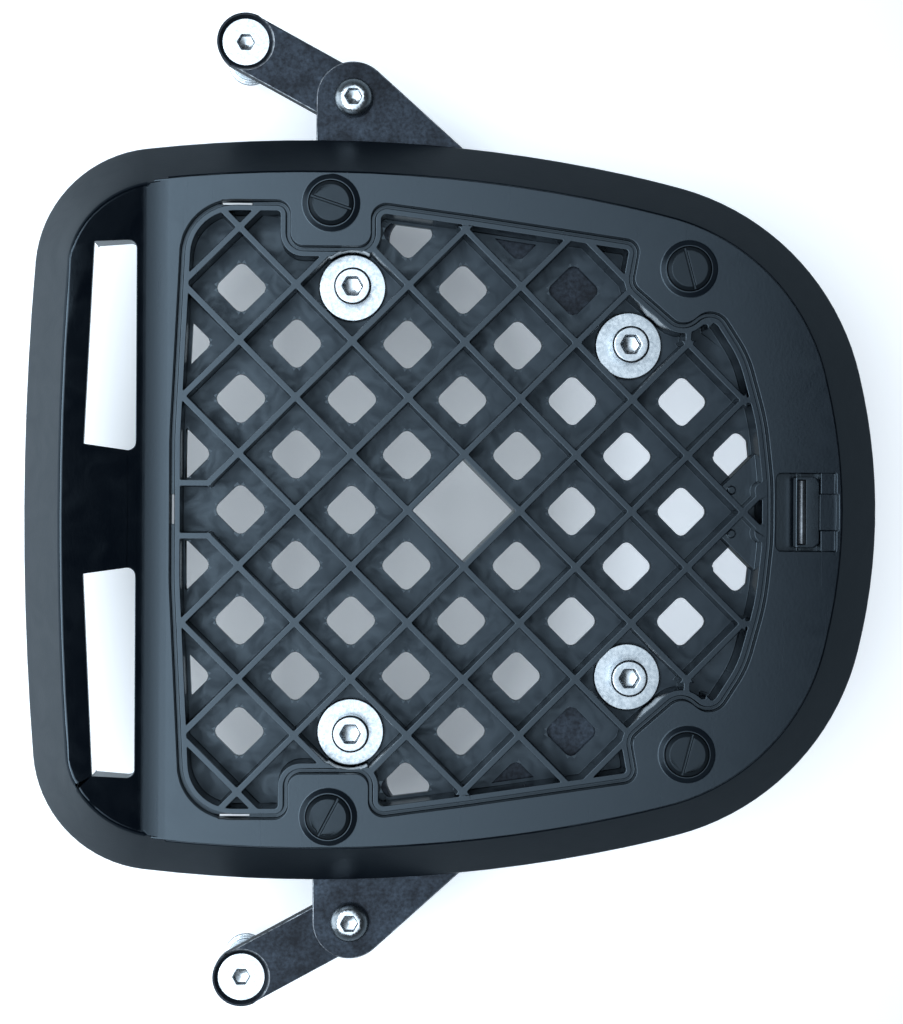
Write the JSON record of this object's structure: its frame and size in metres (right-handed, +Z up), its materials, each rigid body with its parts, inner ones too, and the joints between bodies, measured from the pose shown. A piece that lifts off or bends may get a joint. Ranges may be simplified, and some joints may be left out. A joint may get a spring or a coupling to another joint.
{
  "type": "motorcycle luggage rack",
  "caption": "Moulded top-case plate with a diamond rib lattice, raised front lip with hook slots and a rear latch recess, on flat steel brackets with link arms to the frame.",
  "frame": {"origin": "midway between the two frame bolts, on the seat face of their spacers", "axes": "+X to the machine's rear, +Y to its right side, +Z up, out of the deck"},
  "size_m": [0.3004, 0.3514, 0.0901],
  "materials": {
    "plate_plastic": "satin moulded black",
    "keeper_plastic": "smooth moulded black",
    "plug_plastic": "matt moulded black",
    "pin_steel": "polished black steel",
    "black_steel": "black coated, worn at edges",
    "zinc_hardware": "bright zinc plated"
  },
  "bodies": {
    "root": {"base_plate": "plate_plastic", "deck_plug_front_left": "plug_plastic", "deck_plug_front_right": "plug_plastic", "deck_plug_rear_left": "plug_plastic", "deck_plug_rear_right": "plug_plastic", "frame_bolts": "zinc_hardware", "latch_keeper": "keeper_plastic", "latch_pin": "pin_steel", "link_arm_left": "black_steel", "link_arm_right": "black_steel", "pivot_bolts": "zinc_hardware", "pivot_nuts": "zinc_hardware", "pivot_washers": "zinc_hardware", "plate_bolts": "zinc_hardware", "plate_nuts": "zinc_hardware", "plate_washers": "zinc_hardware", "side_bracket_left": "black_steel", "side_bracket_right": "black_steel", "spacer_left": "zinc_hardware", "spacer_right": "zinc_hardware"}
  },
  "joints": []
}
